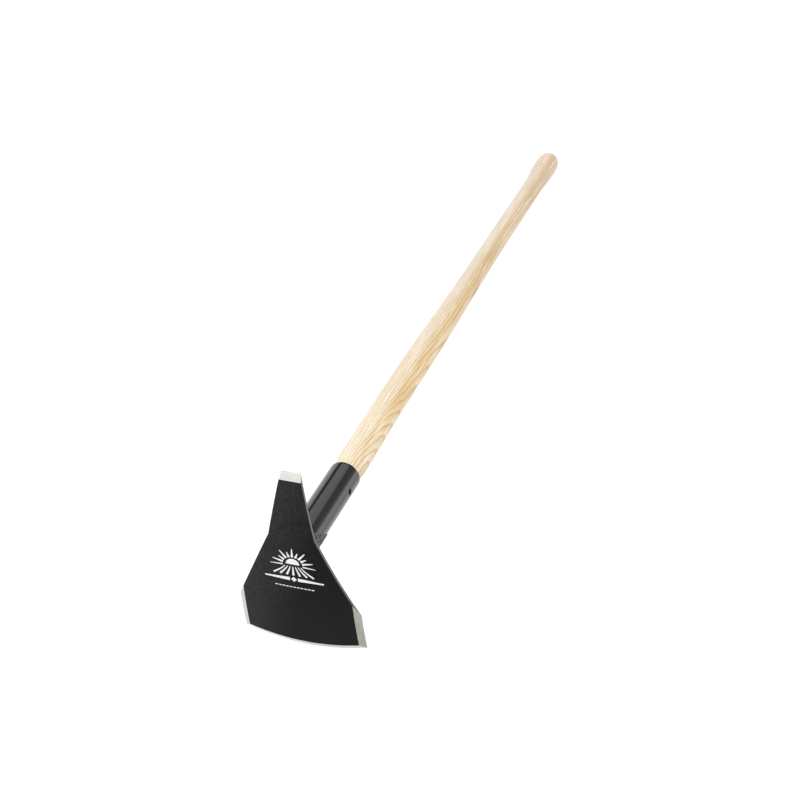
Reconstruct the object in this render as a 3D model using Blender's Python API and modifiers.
"""Draw hoe with a dished, axe-like blade: the blade carries a narrow chisel
tip at the top and a wide curved cutting edge at the bottom, a steel socket
tube is welded square to the middle of its back, and an ash handle is held in
the socket by one screw.

Every piece is modelled in the tool's own axes: the origin is where the
socket's centre line meets the blade's front face, +Y runs up the handle, +X
runs across the blade and +Z runs up the blade to the chisel tip.  One empty
then lays the whole tool down as it rests on level ground: on the middle of
the curved edge and on the handle's butt.
"""

import math

import bmesh
import bpy
import numpy as np
from mathutils import Matrix, Vector

MM = 0.001

# ---------------------------------------------------------------- dimensions
GAP = 0.3                  # clearance left between pieces that touch

# blade: a piece of a dished steel disc, convex towards the ground
DISH_R = 640.0             # radius of the convex front face
PLATE = 4.8                # steel thickness
TIP_HALF, TIP_Z = 13.1, 119.2          # chisel tip
NECK_HALF, NECK_Z = 31.1, 28.9         # where the sides start to flare
SHOULDER_HALF, SHOULDER_Z = 84.4, -87.3    # top of the side bevels
CORNER_HALF, CORNER_Z = 85.4, -149.2   # ends of the curved cutting edge
EDGE_MID_Z = -159.4        # lowest point of the curved cutting edge
EDGE_LAND = 0.5            # steel left at a ground edge
TIP_BEVEL = 10.1           # width of each ground bevel
SIDE_BEVEL = 8.2
EDGE_BEVEL = 9.2

# socket tube
TUBE_OD = 44.45
TUBE_WALL = 3.05
TUBE_MOUTH = 190.2         # blade front face to the mouth
TUBE_CHAMFER = 0.6
HOLE_D = 8.7               # screw hole in the tube's right side
HOLE_FROM_MOUTH = 37.8
HOLE_TURN = math.radians(7.0)   # it faces this far up from the side

# fillet weld, with a thin rough build-up that climbs the tube: low on top of
# the tube and high underneath, bounded by one slanted plane
WELD_LEG = 8.0
WELD_LAND = 0.5
BUILD_UP = 1.0             # thickness of the metal lapped onto the tube
BUILD_UP_Y = 58.0          # where the slanted plane crosses the tube's axis
BUILD_UP_SLOPE = 1.37      # rise along the tube per unit downwards

# ash handle
HANDLE_EXPOSED = 1067.4    # length outside the socket
TENON_LENGTH = 151.8       # length inside the socket
TENON_R = TUBE_OD / 2 - TUBE_WALL - GAP
SWELL_R = 21.2             # thickest part, just outside the socket
SWELL_END_R = 20.45
GRIP_R = 16.35
GRIP_END_R = 16.2
BULB_R = 19.1
SWELL_FROM, TAPER_FROM, TAPER_TO = 34.4, 288.4, 688.4
BULB_FROM, BULB_AT, DOME_FROM = 943.4, 1016.4, 1038.4
BUTT_FLAT_R = 5.0
# the wood bows a little sideways, square to this direction in the XZ plane
BOW_FACING = (0.488, 0.873)
BOW_MOST, BOW_LATER = 2.0, 0.75
BOW_AT, BOW_EASES, BOW_HOLDS, BOW_ENDS = 213.4, 518.4, 698.4, 918.4

# handle screw
HEAD_R, HEAD_H = 3.9, 2.2
SHANK_R = 2.1
SCREW_LENGTH = 25.0        # under the head

SEGMENTS = 48              # round the tube, weld and dish
HANDLE_SEGMENTS = 32


# ------------------------------------------------------------------- helpers
def clear_scene():
    for ob in list(bpy.data.objects):
        bpy.data.objects.remove(ob, do_unlink=True)


def make_collection(name):
    coll = bpy.data.collections.new(name)
    bpy.context.scene.collection.children.link(coll)
    return coll


def material(name, colour, roughness, metallic):
    mat = bpy.data.materials.new(name)
    mat.use_nodes = True
    bsdf = mat.node_tree.nodes["Principled BSDF"]
    bsdf.inputs["Base Color"].default_value = (*colour, 1.0)
    bsdf.inputs["Roughness"].default_value = roughness
    bsdf.inputs["Metallic"].default_value = metallic
    mat.diffuse_color = (*colour, 1.0)
    return mat


def add_object(name, mesh, coll, parent, mat=None):
    ob = bpy.data.objects.new(name, mesh)
    coll.objects.link(ob)
    ob.parent = parent
    if mat is not None:
        ob.data.materials.append(mat)
    return ob


def profile_mesh(name, points, closed):
    """A polyline of (radius, height) pairs in mm, ready to be turned."""
    bm = bmesh.new()
    verts = [bm.verts.new((r * MM, 0.0, h * MM)) for r, h in points]
    for a, b in zip(verts, verts[1:]):
        bm.edges.new((a, b))
    if closed:
        bm.edges.new((verts[-1], verts[0]))
    mesh = bpy.data.meshes.new(name)
    bm.to_mesh(mesh)
    bm.free()
    return mesh


def turn(ob, steps):
    screw = ob.modifiers.new("turned", "SCREW")
    screw.axis = "Z"
    screw.angle = math.tau
    screw.screw_offset = 0.0
    screw.steps = steps
    screw.render_steps = steps
    screw.use_merge_vertices = True
    screw.merge_threshold = 0.00001
    screw.use_smooth_shade = True
    return screw


def turned_object(name, points, closed, steps, coll, parent, mat=None):
    """Turned about the tool's Y axis: profile height runs along +Y."""
    ob = add_object(name, profile_mesh(name, points, closed), coll, parent, mat)
    turn(ob, steps)
    ob.rotation_euler = (-math.pi / 2, 0.0, 0.0)
    return ob


def as_cutter(ob):
    ob.hide_render = True
    ob.display_type = "WIRE"
    return ob


def boolean(ob, cutter, operation, name):
    mod = ob.modifiers.new(name, "BOOLEAN")
    mod.operation = operation
    mod.solver = "EXACT"
    mod.object = cutter
    return mod


def smoothstep(t):
    t = min(max(t, 0.0), 1.0)
    return t * t * (3.0 - 2.0 * t)


def dish_height(radius, sphere_r):
    """Height above the front pole of a sphere centred DISH_R up the axis."""
    return DISH_R - math.sqrt(sphere_r ** 2 - radius ** 2)


def spread(lo, hi, count):
    return [lo + (hi - lo) * i / (count - 1) for i in range(count)]


# --------------------------------------------------------------------- blade
def edge_circle():
    """Plane of the curved cutting edge, as a circle of the back sphere.

    Returns the plane's unit normal (in the YZ plane, pointing away from the
    blade), its distance from the sphere's centre, and the centre."""
    back_r = DISH_R - PLATE
    centre = Vector((0.0, DISH_R, 0.0))

    def on_back(x, z):
        return Vector((x, DISH_R - math.sqrt(back_r ** 2 - x * x - z * z), z))

    mid = on_back(0.0, EDGE_MID_Z)
    right = on_back(CORNER_HALF, CORNER_Z)
    left = on_back(-CORNER_HALF, CORNER_Z)
    normal = (right - mid).cross(left - mid).normalized()
    if normal.z > 0:
        normal = -normal
    return normal, (mid - centre).dot(normal), centre


def outline_points():
    """Blade outline as (x, z) in mm, anticlockwise from the chisel tip."""
    normal, dist, centre = edge_circle()
    back_r = DISH_R - PLATE
    rho = math.sqrt(back_r ** 2 - dist ** 2)
    ring_centre = centre + normal * dist
    towards = Vector((0.0, -normal.z, normal.y))
    if towards.y > 0:
        towards = -towards
    arc = []
    for x in spread(-CORNER_HALF, CORNER_HALF, 25):
        point = ring_centre + towards * math.sqrt(rho ** 2 - x * x)
        arc.append((x, point.z))
    return ([(TIP_HALF, TIP_Z), (-TIP_HALF, TIP_Z), (-NECK_HALF, NECK_Z),
             (-SHOULDER_HALF, SHOULDER_Z)] + arc
            + [(SHOULDER_HALF, SHOULDER_Z), (NECK_HALF, NECK_Z)])


def outline_prism(coll, parent):
    curve = bpy.data.curves.new("blade_outline", "CURVE")
    curve.dimensions = "2D"
    curve.fill_mode = "BOTH"
    curve.extrude = 60.0 * MM
    points = outline_points()
    spline = curve.splines.new("POLY")
    spline.points.add(len(points) - 1)
    for co, (x, z) in zip(spline.points, points):
        co.co = (x * MM, z * MM, 0.0, 1.0)
    spline.use_cyclic_u = True
    guide = bpy.data.objects.new("blade_outline", curve)
    coll.objects.link(guide)
    bpy.context.view_layer.update()
    depsgraph = bpy.context.evaluated_depsgraph_get()
    mesh = bpy.data.meshes.new_from_object(guide.evaluated_get(depsgraph))
    bpy.data.objects.remove(guide, do_unlink=True)
    bm = bmesh.new()
    bm.from_mesh(mesh)
    bmesh.ops.remove_doubles(bm, verts=bm.verts, dist=0.00001)
    bmesh.ops.recalc_face_normals(bm, faces=bm.faces)
    bm.to_mesh(mesh)
    bm.free()
    prism = as_cutter(add_object("outline_prism", mesh, coll, parent))
    prism.rotation_euler = (math.pi / 2, 0.0, 0.0)
    prism.location = (0.0, 10.0 * MM, 0.0)
    return prism


def bevel_cutter(name, normal, edge_dist, inner_dist, mid_point, span, steps,
                 coll, parent):
    """Waste ground off one edge so that the bevel keeps its width all along.

    The bevel is turned about the axis through the dish's centre that is
    square to the edge's plane.  edge_dist and inner_dist are the distances,
    along that axis, of the cutting edge and of the line on the front face
    where the bevel starts; span is the length of edge to cover."""
    normal = Vector(normal).normalized()
    centre = Vector((0.0, DISH_R, 0.0))
    back_r = DISH_R - PLATE
    arm = Vector(mid_point) - centre
    arm = (arm - normal * arm.dot(normal)).normalized()
    # in the plane of the axis: the edge, lifted by its land, and the line on
    # the front face, both measured from the dish's centre
    edge = Vector((edge_dist, math.sqrt(back_r ** 2 - edge_dist ** 2)))
    edge *= (back_r + EDGE_LAND) / back_r
    inner = Vector((inner_dist, math.sqrt(DISH_R ** 2 - inner_dist ** 2)))
    along = (edge - inner).normalized()
    lift = edge.normalized() * 30.0
    section = [inner - along * 6.0, edge + along * 12.0,
               edge + along * 12.0 + lift, inner - along * 6.0 + lift]
    bm = bmesh.new()
    half_angle = math.atan2(span / 2, edge.y)
    turn_back = Matrix.Rotation(-half_angle, 3, normal)
    verts = [bm.verts.new((turn_back @ (normal * m + arm * rho)
                           + centre) * MM) for m, rho in section]
    face = bm.faces.new(verts)
    bmesh.ops.spin(bm, geom=[face] + list(face.edges) + verts,
                   cent=centre * MM, axis=normal, angle=2 * half_angle,
                   steps=steps, use_duplicate=False)
    bmesh.ops.recalc_face_normals(bm, faces=bm.faces)
    mesh = bpy.data.meshes.new(name)
    bm.to_mesh(mesh)
    bm.free()
    return as_cutter(add_object(name, mesh, coll, parent))


def build_blade(parts, cutters, parent, mat):
    reach = 200.0
    radii = spread(0.0, reach, 15)
    back_r = DISH_R - PLATE
    back = [(r, dish_height(r, back_r)) for r in radii]
    front = [(r, dish_height(r, DISH_R)) for r in reversed(radii)]
    blade = turned_object("blade", back + front, False, SEGMENTS, parts,
                          parent, mat)
    boolean(blade, outline_prism(cutters, parent), "INTERSECT", "outline")

    # chisel tip, ground square across
    tip = bevel_cutter("tip_bevel", (0, 0, 1), TIP_Z, TIP_Z - TIP_BEVEL,
                       (0, 0, TIP_Z), 60.0, 4, cutters, parent)
    boolean(blade, tip, "DIFFERENCE", "tip_bevel")

    # the two short side edges
    run = Vector((CORNER_HALF - SHOULDER_HALF, CORNER_Z - SHOULDER_Z))
    out = Vector((-run.y, run.x)).normalized()
    for side, name in ((1, "right_bevel"), (-1, "left_bevel")):
        dist = out.x * SHOULDER_HALF + out.y * SHOULDER_Z
        mid = (side * (SHOULDER_HALF + CORNER_HALF) / 2, 0,
               (SHOULDER_Z + CORNER_Z) / 2)
        cutter = bevel_cutter(name, (side * out.x, 0, out.y), dist,
                              dist - SIDE_BEVEL, mid, 150.0, 12, cutters,
                              parent)
        boolean(blade, cutter, "DIFFERENCE", name)

    # the curved cutting edge
    normal, dist, centre = edge_circle()
    inner_z = EDGE_MID_Z + EDGE_BEVEL
    inner = Vector((0.0, dish_height(abs(inner_z), DISH_R), inner_z))
    cutter = bevel_cutter("edge_bevel", normal, dist,
                          (inner - centre).dot(normal), (0, 0, EDGE_MID_Z),
                          230.0, 28, cutters, parent)
    boolean(blade, cutter, "DIFFERENCE", "edge_bevel")
    return blade


# -------------------------------------------------------------- socket, weld
def round_cutter(name, radius, x_from, x_to, y, coll, parent):
    """A drill across the socket at height Y, on the screw's line."""
    bm = bmesh.new()
    bmesh.ops.create_cone(bm, cap_ends=True, segments=24,
                          radius1=radius * MM, radius2=radius * MM,
                          depth=(x_to - x_from) * MM)
    mesh = bpy.data.meshes.new(name)
    bm.to_mesh(mesh)
    bm.free()
    ob = as_cutter(add_object(name, mesh, coll, parent))
    ob.rotation_euler = (0.0, math.pi / 2 - HOLE_TURN, 0.0)
    middle = (x_from + x_to) / 2 * MM
    ob.location = (middle * math.cos(HOLE_TURN), y * MM,
                   middle * math.sin(HOLE_TURN))
    return ob


def build_tube(parts, cutters, parent, mat):
    outer = TUBE_OD / 2
    inner = outer - TUBE_WALL
    c = TUBE_CHAMFER
    # start behind the blade's front, run over the mouth and down the outside
    profile = [(inner, 1.0), (inner, TUBE_MOUTH - c), (inner + c, TUBE_MOUTH),
               (outer - c, TUBE_MOUTH), (outer, TUBE_MOUTH - c), (outer, 1.0)]
    tube = turned_object("socket_tube", profile, True, SEGMENTS, parts,
                         parent, mat)
    # its end is ground to sit on the dished back
    back_r = DISH_R - PLATE - GAP
    radii = [r for r in spread(0.0, 200.0, 15) if r < 45.0]
    fit_profile = ([(r, dish_height(r, back_r)) for r in radii]
                   + [(radii[-1], -20.0), (0.0, -20.0)])
    fit = as_cutter(turned_object("tube_fit", fit_profile, False, SEGMENTS,
                                  cutters, parent))
    boolean(tube, fit, "DIFFERENCE", "fit_to_dish")
    hole = round_cutter("tube_hole", HOLE_D / 2, 12.0, 30.0,
                        TUBE_MOUTH - HOLE_FROM_MOUTH, cutters, parent)
    boolean(tube, hole, "DIFFERENCE", "screw_hole")
    return tube


def build_weld(parts, cutters, parent, mat):
    inner = TUBE_OD / 2 + GAP
    toe = inner + WELD_LEG
    lap = inner + BUILD_UP
    back_r = DISH_R - PLATE - GAP
    base = [(r, dish_height(r, back_r)) for r in spread(inner, toe, 3)]
    crown = []
    top = base[0][1] + WELD_LEG
    for t in spread(0.0, 1.0, 7):
        r = lap + (toe - lap) * t
        h = top + (base[-1][1] + WELD_LAND - top) * t
        bulge = 0.9 * math.sin(math.pi * t)
        crown.append((r + bulge * 0.707, h + bulge * 0.707))
    reach = BUILD_UP_Y + BUILD_UP_SLOPE * toe + 6.0
    # up the tube, down the lapped metal and the crown, back along the blade
    steps = spread(reach, top, 6)[:-1]
    profile = ([(inner, reach)] + [(lap, h) for h in steps] + crown
               + list(reversed(base)))
    bead = turned_object("weld_bead", profile, True, SEGMENTS, parts, parent,
                         mat)
    # everything beyond the slanted plane is bare tube
    bm = bmesh.new()
    bmesh.ops.create_cube(bm, size=400.0 * MM)
    bmesh.ops.translate(bm, vec=(0.0, 200.0 * MM, 0.0), verts=bm.verts)
    mesh = bpy.data.meshes.new("build_up_limit")
    bm.to_mesh(mesh)
    bm.free()
    limit = as_cutter(add_object("build_up_limit", mesh, cutters, parent))
    limit.rotation_euler = (math.atan(BUILD_UP_SLOPE), 0.0, 0.0)
    limit.location = (0.0, BUILD_UP_Y * MM, 0.0)
    boolean(bead, limit, "DIFFERENCE", "build_up_limit")
    return bead


# -------------------------------------------------------------------- handle
def handle_radius(u):
    """Radius at a distance u from the socket's mouth."""
    if u <= SWELL_FROM:
        return TENON_R + (SWELL_R - TENON_R) * smoothstep(u / SWELL_FROM)
    if u <= TAPER_FROM:
        t = (u - SWELL_FROM) / (TAPER_FROM - SWELL_FROM)
        return SWELL_R + (SWELL_END_R - SWELL_R) * t
    if u <= TAPER_TO:
        t = (u - TAPER_FROM) / (TAPER_TO - TAPER_FROM)
        return SWELL_END_R + (GRIP_R - SWELL_END_R) * smoothstep(t)
    if u <= BULB_FROM:
        t = (u - TAPER_TO) / (BULB_FROM - TAPER_TO)
        return GRIP_R + (GRIP_END_R - GRIP_R) * t
    if u <= BULB_AT:
        t = (u - BULB_FROM) / (BULB_AT - BULB_FROM)
        return GRIP_END_R + (BULB_R - GRIP_END_R) * smoothstep(t)
    if u <= DOME_FROM:
        return BULB_R
    # quarter ellipse down to the small flat left by the lathe
    drop = HANDLE_EXPOSED - DOME_FROM
    t = (u - DOME_FROM) / drop
    return BUTT_FLAT_R + (BULB_R - BUTT_FLAT_R) * math.sqrt(max(0.0, 1 - t * t))


def handle_bow(u):
    """Sideways offset of the handle's centre at a distance u from the mouth."""
    if u <= 0.0:
        return 0.0
    if u <= BOW_AT:
        return BOW_MOST * smoothstep(u / BOW_AT)
    if u <= BOW_EASES:
        t = (u - BOW_AT) / (BOW_EASES - BOW_AT)
        return BOW_MOST + (BOW_LATER - BOW_MOST) * smoothstep(t)
    t = (u - BOW_HOLDS) / (BOW_ENDS - BOW_HOLDS)
    return BOW_LATER * (1.0 - smoothstep(t))


def build_handle(parts, cutters, parent, mat):
    stations = (spread(0.0, SWELL_FROM, 6)
                + spread(SWELL_FROM, TAPER_FROM, 11)[1:]
                + spread(TAPER_FROM, TAPER_TO, 15)[1:]
                + spread(TAPER_TO, BULB_FROM, 10)[1:]
                + spread(BULB_FROM, BULB_AT, 8)[1:] + [DOME_FROM])
    drop = HANDLE_EXPOSED - DOME_FROM
    stations += [DOME_FROM + drop * math.sin(a)
                 for a in spread(0.0, math.pi / 2, 9)[1:]]
    y0 = TUBE_MOUTH
    tenon_end = y0 - TENON_LENGTH
    rings = [(TENON_R - 1.5, tenon_end), (TENON_R, tenon_end + 1.5)]
    rings += [(handle_radius(u), y0 + u) for u in stations]
    across = Vector((BOW_FACING[1], 0.0, -BOW_FACING[0]))
    bm = bmesh.new()
    loops = []
    for r, h in rings:
        centre = Vector((0.0, h, 0.0)) - across * handle_bow(h - y0)
        loops.append([bm.verts.new((centre + Vector(
            (r * math.cos(math.tau * k / HANDLE_SEGMENTS), 0.0,
             r * math.sin(math.tau * k / HANDLE_SEGMENTS)))) * MM)
            for k in range(HANDLE_SEGMENTS)])
    for a, b in zip(loops, loops[1:]):
        for k in range(HANDLE_SEGMENTS):
            j = (k + 1) % HANDLE_SEGMENTS
            bm.faces.new((a[k], a[j], b[j], b[k]))
    bm.faces.new(loops[0])
    bm.faces.new(loops[-1])
    bmesh.ops.recalc_face_normals(bm, faces=bm.faces)
    mesh = bpy.data.meshes.new("handle")
    bm.to_mesh(mesh)
    bm.free()
    handle = add_object("handle", mesh, parts, parent, mat)
    drill = round_cutter("pilot_hole", SHANK_R + GAP,
                         TENON_R - SCREW_LENGTH - 2.0, TENON_R + 6.0,
                         TUBE_MOUTH - HOLE_FROM_MOUTH, cutters, parent)
    boolean(handle, drill, "DIFFERENCE", "pilot_hole")
    return handle


def build_screw(parts, cutters, parent, mat):
    """Pan-head screw across the socket, its head down in the tube's hole."""
    seat = TENON_R + GAP
    r = HEAD_R
    profile = [(0.0, seat + HEAD_H)]
    for a in spread(0.0, math.pi / 2, 6)[1:]:
        profile.append((r * (0.35 + 0.65 * math.sin(a)),
                        seat + 0.7 + (HEAD_H - 0.7) * math.cos(a)))
    profile.insert(1, (r * 0.35, seat + HEAD_H))
    profile += [(r, seat), (SHANK_R, seat),
                (SHANK_R, seat - SCREW_LENGTH + 6.0),
                (0.3, seat - SCREW_LENGTH), (0.0, seat - SCREW_LENGTH)]
    screw = add_object("handle_screw",
                       profile_mesh("handle_screw", profile, False), parts,
                       parent, mat)
    turn(screw, 24)
    screw.rotation_euler = (0.0, math.pi / 2 - HOLE_TURN, 0.0)
    screw.location = (0.0, (TUBE_MOUTH - HOLE_FROM_MOUTH) * MM, 0.0)
    for turned, name in ((0.0, "recess_a"), (math.pi / 2, "recess_b")):
        bm = bmesh.new()
        bmesh.ops.create_cube(bm, size=1.0)
        bmesh.ops.scale(bm, vec=(2.4 * MM, 0.9 * MM, 4.4 * MM), verts=bm.verts)
        mesh = bpy.data.meshes.new(name)
        bm.to_mesh(mesh)
        bm.free()
        bar = as_cutter(add_object(name, mesh, cutters, parent))
        bar.rotation_euler = (turned, -HOLE_TURN, 0.0)
        bar.location = ((seat + HEAD_H) * MM * math.cos(HOLE_TURN),
                        (TUBE_MOUTH - HOLE_FROM_MOUTH) * MM,
                        (seat + HEAD_H) * MM * math.sin(HOLE_TURN))
        boolean(screw, bar, "DIFFERENCE", name)
    return screw


# ------------------------------------------------------------------ rest pose
def world_points(ob):
    depsgraph = bpy.context.evaluated_depsgraph_get()
    ev = ob.evaluated_get(depsgraph)
    mesh = ev.to_mesh()
    co = np.empty(len(mesh.vertices) * 3)
    mesh.vertices.foreach_get("co", co)
    co = co.reshape(-1, 3)
    m = np.array(ev.matrix_world)
    ev.to_mesh_clear()
    return co @ m[:3, :3].T + m[:3, 3]


def lay_down(base, blade, handle, pieces):
    """Tip the tool about X until the edge and the butt touch one level, then
    bring the middle of its footprint to the origin."""
    bpy.context.view_layer.update()
    head, wood = world_points(blade), world_points(handle)

    def lowest(points, angle):
        return (points[:, 1] * math.sin(angle)
                + points[:, 2] * math.cos(angle)).min()

    lo, hi = math.radians(-30.0), math.radians(30.0)
    for _ in range(60):
        mid = (lo + hi) / 2
        if lowest(head, mid) > lowest(wood, mid):
            lo = mid
        else:
            hi = mid
    base.rotation_euler = ((lo + hi) / 2, 0.0, 0.0)
    bpy.context.view_layer.update()
    cloud = np.vstack([world_points(ob) for ob in pieces])
    low, high = cloud.min(axis=0), cloud.max(axis=0)
    base.location = (-(low[0] + high[0]) / 2, -(low[1] + high[1]) / 2, -low[2])
    bpy.context.view_layer.update()


def shade(ob, angle):
    """Smooth on the round faces, crisp on the cut ones."""
    ob.data.shade_smooth()
    for mod in ob.modifiers:
        if mod.type == "SCREW":
            mod.use_smooth_shade = True
    ob.data.set_sharp_from_angle(angle=math.radians(angle))


def main():
    clear_scene()
    parts = make_collection("draw_hoe")
    cutters = make_collection("cutters")
    base = bpy.data.objects.new("hoe_base", None)
    parts.objects.link(base)

    black = material("blade_black", (0.035, 0.036, 0.038), 0.42, 0.0)
    gloss = material("socket_black", (0.012, 0.012, 0.013), 0.2, 0.0)
    weld = material("weld_black", (0.03, 0.03, 0.027), 0.5, 0.0)
    ash = material("ash", (0.74, 0.56, 0.36), 0.5, 0.0)
    screw_black = material("screw_black", (0.015, 0.015, 0.016), 0.4, 0.6)

    blade = build_blade(parts, cutters, base, black)
    tube = build_tube(parts, cutters, base, gloss)
    bead = build_weld(parts, cutters, base, weld)
    handle = build_handle(parts, cutters, base, ash)
    screw = build_screw(parts, cutters, base, screw_black)
    pieces = [blade, tube, bead, handle, screw]
    for ob in pieces:
        shade(ob, 30.0)
    lay_down(base, blade, handle, pieces)
    return base, pieces


base_empty, built = main()
